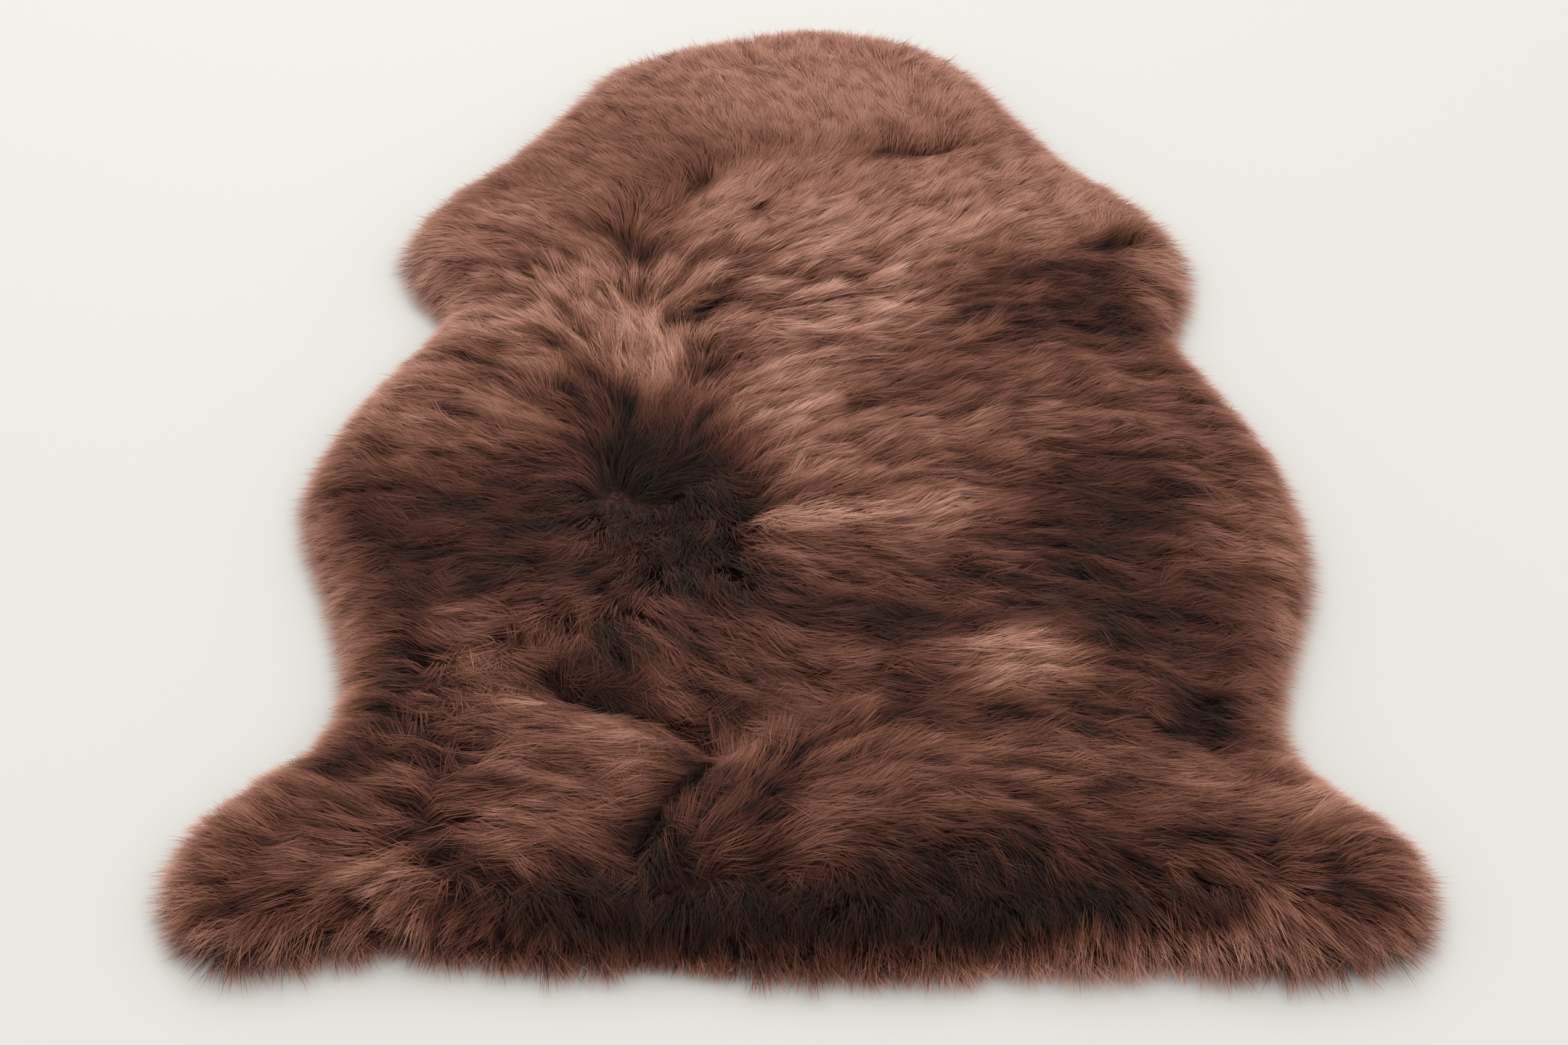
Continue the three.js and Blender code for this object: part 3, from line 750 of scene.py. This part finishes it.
streaks = np.clip(streaks - GAP_DEPTH * gaps, STREAK_LEAST, STREAK_MOST) + STREAK_RAISE
lively = 1 - NECK_EVENER * np.clip((grid_y - NECK_BEGINS) / NECK_LENGTH, 0, 1)
lively *= np.clip(DARK_LIVELY + 3 * tones_and_shading, 0, 1)
lively *= 1 + CRIMP_LIVELY * crimped_at(grid_x, grid_y)

# Locks stand on an uneven lattice over the whole skin.
lattice_x, lattice_y = np.meshgrid(
    np.arange(low[0], high[0], LOCK_SPACING), np.arange(low[1], high[1], LOCK_SPACING))
lattice_x = (lattice_x + LOCK_SPACING / 2 * (np.arange(len(lattice_x)) % 2)[:, None]).ravel()
lattice_y = lattice_y.ravel()
lattice_x = lattice_x + rng.uniform(-LOCK_SCATTER, LOCK_SCATTER, len(lattice_x)) * LOCK_SPACING
lattice_y = lattice_y + rng.uniform(-LOCK_SCATTER, LOCK_SCATTER, len(lattice_y)) * LOCK_SPACING
covered = on_grid(inset, lattice_x, lattice_y) > -1 * MM
lock_x, lock_y = lattice_x[covered], lattice_y[covered]
locks = len(lock_x)
lock_lively = on_grid(lively, lock_x, lock_y)
tufts = blurred(rng.normal(0, 1, grid_x.shape), TUFT_BLURS)
tufts /= tufts.std()
lock_turn = rng.normal(0, 1, locks) * STRAY_LOCK * (0.5 + 0.5 * lock_lively)
lock_turn += waves_at(lock_x, lock_y)
felt_x, felt_y = np.zeros(locks), np.zeros(locks)  # how far off a lock takes its heading from
for depth, width, painted_shade, mixed, line in PARTINGS:
    if mixed:
        gap, side_x, side_y = distance_to_line(line, lock_x / MM, lock_y / MM)
        shift = rng.normal(0, 1, locks) * mixed * MM * bell(gap, 2 * mixed)
        felt_x += shift * side_x
        felt_y += shift * side_y
lock_length = rng.uniform(*LOCK_LENGTHS, locks)
lock_lift = rng.uniform(*LOCK_LIFTS, locks)
lock_lift += np.clip(TUFT_LIFT * on_grid(tufts, lock_x, lock_y), -TUFT_MOST, TUFT_MOST) * MM
lock_lift *= 0.4 + 0.8 * lock_lively
# A lock's tone varies at random, and it is painted lighter where it stands off and darker where it sinks
# into the wool's shade.
lock_tone_and_shading = (LIFT_PAINTED_LIGHT * lock_lift / MM + rng.normal(0, LOCK_TONE, locks)) * lock_lively

# A bundle leaves the skin somewhere in its lock, and lies the way its lock lies.
owner = np.repeat(np.arange(locks), BUNDLES)
bundles = len(owner)


def any_share():
    """A random share for each bundle, from 0 to 1."""
    return rng.uniform(0, 1, bundles)


around = rng.uniform(0, 2 * math.pi, bundles)
away = np.sqrt(any_share())
off_x, off_y = away * np.cos(around), away * np.sin(around)
root_x = lock_x[owner] + off_x * LOCK_RADIUS
root_y = lock_y[owner] + off_y * LOCK_RADIUS
heading = heading_at(root_x + felt_x[owner], root_y + felt_y[owner])
lock_heading = heading_at(lock_x + felt_x, lock_y + felt_y)[owner]
upright = UPRIGHT_SHARE * np.clip(on_grid(upright_grid, root_x, root_y), 0, 1)
turn_x = np.cos(heading) + LOCK_HOLD * np.cos(lock_heading)
turn_y = np.sin(heading) + LOCK_HOLD * np.sin(lock_heading)
stray = lock_turn[owner] + rng.normal(0, 1, bundles) * STRAY_BUNDLE
heading = np.arctan2(turn_y, turn_x) + stray * (1 + STRAY_UPRIGHT * upright)

# It reaches as far as the wool's length, the fringe and the partings allow.
root_inset = on_grid(inset, root_x, root_y)
reach = REACH_LYING + (REACH_UPRIGHT - REACH_LYING) * upright
reach = reach * lock_length[owner] * rng.uniform(*BUNDLE_LENGTHS, bundles)
band = on_grid(towards_front, root_x, root_y) * bell(np.maximum(root_inset, 0), FRONT_BAND)
reach *= 1 - BAND_SHORTER * band
far_x, far_y = root_x + reach * np.cos(heading), root_y + reach * np.sin(heading)
least = LEAST_HANG + NAPE_HANG * on_grid(towards_nape, far_x, far_y)
allowed = on_grid(fringe, far_x, far_y) * (least + (1 - least) * np.sqrt(any_share()))
reach = reach - np.maximum(-on_grid(inset, far_x, far_y) - allowed, 0)
for depth, width, painted_shade, mixed, line in PARTINGS:
    if not mixed:
        reach *= crossed_at(line, root_x, root_y, reach * np.cos(heading), reach * np.sin(heading))
reach = np.maximum(reach, REACH_LEAST)
step_x, step_y = reach * np.cos(heading), reach * np.sin(heading)
gather = LOCK_RADIUS - LOCK_POINT
tip_x = root_x + step_x - off_x * gather
tip_y = root_y + step_y - off_y * gather
bend_x = root_x + BEND * step_x - BEND_GATHERS * off_x * gather
bend_y = root_y + BEND * step_y - BEND_GATHERS * off_y * gather

# It rises to the top of the wool, less near the rim, and a few bundles fly off a little.
rim_share = 1 - np.clip(root_inset / RIM_NEAR, 0, 1)
root_z = surface_at(root_x, root_y) - ROOT_DEPTH * (1 + rim_share)
root_z = np.maximum(root_z, HIDE_THICKNESS + 1 * MM)
sunk = (SUNK_LYING + SUNK_UPRIGHT * upright) * any_share()
bend_z = surface_at(bend_x, bend_y) + 0.5 * lock_lift[owner] - sunk
bend_z = bend_z * (1 - RIM_SAGS[0] * rim_share * any_share())
tip_lift = STREAK_LIFT * on_grid(streaks, tip_x, tip_y, FINE_GRID) * on_grid(lively, tip_x, tip_y)
tip_z = surface_at(tip_x, tip_y) + lock_lift[owner] + tip_lift + rng.uniform(*BUNDLE_LIFTS, bundles)
tip_z = tip_z * (1 - RIM_SAGS[1] * rim_share * any_share())
fly = np.where(any_share() < FLYING, rng.uniform(FLYING_FROM, FLYING_TO, bundles), 0)
fly *= 1 - FLYING_LESS_AT_NAPE * on_grid(towards_nape, tip_x, tip_y)
bend_z = np.maximum(bend_z + 0.3 * fly, BEND_LEAST)
tip_z = np.maximum(tip_z + fly, TIP_LEAST)
path = np.stack([
    np.column_stack([root_x, root_y, root_z]),
    np.column_stack([bend_x, bend_y, bend_z]),
    np.column_stack([tip_x, tip_y, tip_z]),
], axis=1)
width = BUNDLE_WIDTH * rng.uniform(*BUNDLE_WIDTHS, bundles)
width *= np.where(fly > 0, FLYING_WIDTH, 1) * (1 - RIM_FINER * rim_share)

# Each of its points is as light as the painted light and shade of the wool there, and over the rim it is
# painted paler, as a glow for the light that comes through it.
stray_tone_and_shading = lock_tone_and_shading[owner] + rng.normal(0, BUNDLE_TONE, bundles) * on_grid(lively, root_x, root_y)
pale_front, pale_from, pale_over = FRONT_PALE
lightness = np.empty((bundles, 3))
for point in range(3):
    x, y = path[:, point, 0], path[:, point, 1]
    here = on_grid(tones_and_shading, x, y) + stray_tone_and_shading
    # The streaks vary the tone, and their gaps add painted shade.
    here += STREAK_TONE_AND_SHADE * on_grid(streaks, x, y, FINE_GRID) * on_grid(lively, x, y)
    point_inset = on_grid(inset, x, y)
    front = on_grid(facing_front, x, y)
    painted_glow = np.clip((RIM_PALE - point_inset) / (RIM_PALE + FRINGE), 0, 1)
    painted_glow *= 1 - RIGHT_LESS_PALE * np.clip(on_grid(outward_x, x, y), 0, 1)
    painted_glow *= 1 - NAPE_LESS_PALE * on_grid(towards_nape, x, y)
    tips_only = pale_front * np.clip((-pale_from - point_inset) / pale_over, 0, 1)
    painted_glow = painted_glow * (1 - front) + tips_only * front
    here = here + painted_glow * np.maximum(1.0 - here, 0)
    lightness[:, point] = np.clip(here, DARKEST, 1.0)

# Round the rim the finest wool spreads out on the floor, thin enough for light to come through; its pale
# colour is a painted glow for that light.
FRINGE_BUNDLES = 30000
FRINGE_WIDTH = 0.44 * MM
FRINGE_STRAY = 0.3
FRINGE_BACK = (-4 * MM, 8 * MM)  # how far inside the slab's edge it begins
FRINGE_REACH = (0.5, 0.95, 1.25)  # least, usual and most
NAPE_REACH_LESS = 0.3
FRINGE_FIRST = (2.6 * MM, 9 * MM)  # heights at its roots, lowest and highest
FRINGE_LAST = (0.6 * MM, 1.5 * MM, 12 * MM)  # and at its tips, lowest, usual and highest
NAPE_FIRST = 12 * MM
NAPE_LAST = 15 * MM
FRINGE_LIGHT = (0.75, 0.12)
FRINGE_SHADE = np.array([-0.35, -0.1, 0.2])  # root, bend and tip, against the whole: painted shade at the root under the wool, and a paler tip
FRONT_SHADE = np.array([0.25, 0.25, 0.0])  # painted shade: this much darker at the front, which faces away from the light
HANG_LENGTHS = (5.5 * MM, 23 * MM)  # at the front it hangs in small tufts of these lengths
HANG_TURN = 0.45
HANG_REACH = 0.18
HANG_TONE = 0.1
CURLS = (0.35, 150 * MM, 84 * MM)  # some of it is lighter: how much, where along x, half width


def any_fringe(lowest, highest):
    """A random value for each bundle of the fringe."""
    return rng.uniform(lowest, highest, FRINGE_BUNDLES)


rim_lengths = np.hypot(*(rim_next - rim).T)
edge_number = rng.choice(len(rim), FRINGE_BUNDLES, p=rim_lengths / rim_lengths.sum())
edge_share = any_fringe(0, 1)[:, None]
start = rim[edge_number] * (1 - edge_share) + rim_next[edge_number] * edge_share
start_x, start_y = start.T
nape_here, front_here = on_grid(towards_nape, start_x, start_y), on_grid(facing_front, start_x, start_y)
hang = np.sin(start_x / HANG_LENGTHS[0] + 2.2 * np.sin(start_x / HANG_LENGTHS[1]))
out_turn = np.arctan2(on_grid(outward_y, start_x, start_y), on_grid(outward_x, start_x, start_y))
out_turn += rng.normal(0, FRINGE_STRAY, FRINGE_BUNDLES) * (1 + 0.7 * front_here)
out_turn += HANG_TURN * hang * front_here
out = np.column_stack([np.cos(out_turn), np.sin(out_turn)])
inwards = any_fringe(*FRINGE_BACK)[:, None]
reach_out = rng.triangular(*FRINGE_REACH, FRINGE_BUNDLES)
reach_out = np.minimum(reach_out, FRINGE_REACH[2] - NAPE_REACH_LESS * nape_here)
reach_out *= 1 + HANG_REACH * (hang * front_here)
reach_out = (reach_out * on_grid(fringe, start_x, start_y))[:, None]
first_z = any_fringe(*FRINGE_FIRST)
last_z = rng.triangular(*FRINGE_LAST, FRINGE_BUNDLES)
first_z += NAPE_FIRST * nape_here * any_fringe(0, 1)
last_z += NAPE_LAST * nape_here * any_fringe(0, 1)
fringe_path = np.stack([
    np.column_stack([start - inwards * out, first_z]),
    np.column_stack([start + 0.5 * reach_out * out, 0.7 * first_z + 0.5 * last_z + 1 * MM]),
    np.column_stack([start + reach_out * out, last_z]),
], axis=1)
fringe_width = FRINGE_WIDTH * any_fringe(0.7, 1.2)
# At the front, which faces away from the light, the fringe is painted darker.
fringe_tone_and_shading = rng.normal(*FRINGE_LIGHT, FRINGE_BUNDLES) - 0.2 * front_here
curls_add, curls_x, curls_half = CURLS
fringe_tone_and_shading += (curls_add * bell(start_x - curls_x, curls_half) + HANG_TONE * hang) * front_here
fringe_tone_and_shading = fringe_tone_and_shading[:, None] + FRINGE_SHADE - front_here[:, None] * FRONT_SHADE
path = np.concatenate([path, fringe_path])
width = np.concatenate([width, fringe_width])
lightness = np.concatenate([lightness, np.clip(fringe_tone_and_shading, DARKEST, 1)])
region_y = np.concatenate([lock_y[owner], start_y])

# All of it is joined into one mesh for each stretch of the skin.
REGIONS = (
    ("wool_neck", 0.245, 9.0), ("wool_shoulders", 0.075, 0.245), ("wool_back", -0.085, 0.075),
    ("wool_flanks", -0.235, -0.085), ("wool_haunches", -0.385, -0.235), ("wool_hind_legs", -9.0, -0.385),
)
for name, south, north in REGIONS:
    here = (region_y >= south) & (region_y < north)
    piece = blades(name, path[here], width[here], lightness[here], wool)
    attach(piece, "root")
    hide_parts("sheepskin")


# Stage
# A plain pale floor under soft light from above, most of it from beyond the neck.
FLOOR_SIZE = 40.0
FLOOR_DOWN = 0.2 * MM
FLOOR_PALE = "b4b2ac"
WINDOW = ((-0.6, 2.2, 2.4), 1.8, 38.0)  # place, size and power
FILL = ((1.8, -1.4, 2.6), 2.0, 20.0)
ROOM_LIGHT = 1.42

floor_paint, tree = new_material("plain_floor")
paint = add_node(tree, "ShaderNodeBsdfPrincipled", {"Base Color": linear(FLOOR_PALE), "Roughness": 0.6})
finish_material(tree, paint)
half = FLOOR_SIZE / 2
floor = new_piece("floor", [(-half, -half, 0), (half, -half, 0), (half, half, 0), (-half, half, 0)],
                  [(0, 1, 2, 3)], floor_paint, smooth=False)
floor.data.transform(Matrix.Translation((0, 0, -FLOOR_DOWN)))


def soft_light(name, place, size, power):
    """A large square lamp that points at the middle of the rug."""
    data = bpy.data.lights.new(name, "AREA")
    data.size = size
    data.energy = power
    lamp = bpy.data.objects.new(name, data)
    bpy.context.scene.collection.objects.link(lamp)
    aim = (-Vector(place)).to_track_quat("-Z", "Y")
    lamp.matrix_world = Matrix.Translation(place) @ aim.to_matrix().to_4x4()


soft_light("window", *WINDOW)
soft_light("fill", *FILL)
world = bpy.data.worlds.new("room")
world.use_nodes = True
world.node_tree.nodes["Background"].inputs["Color"].default_value = (1.0, 1.0, 1.0, 1.0)
world.node_tree.nodes["Background"].inputs["Strength"].default_value = ROOM_LIGHT
bpy.context.scene.world = world
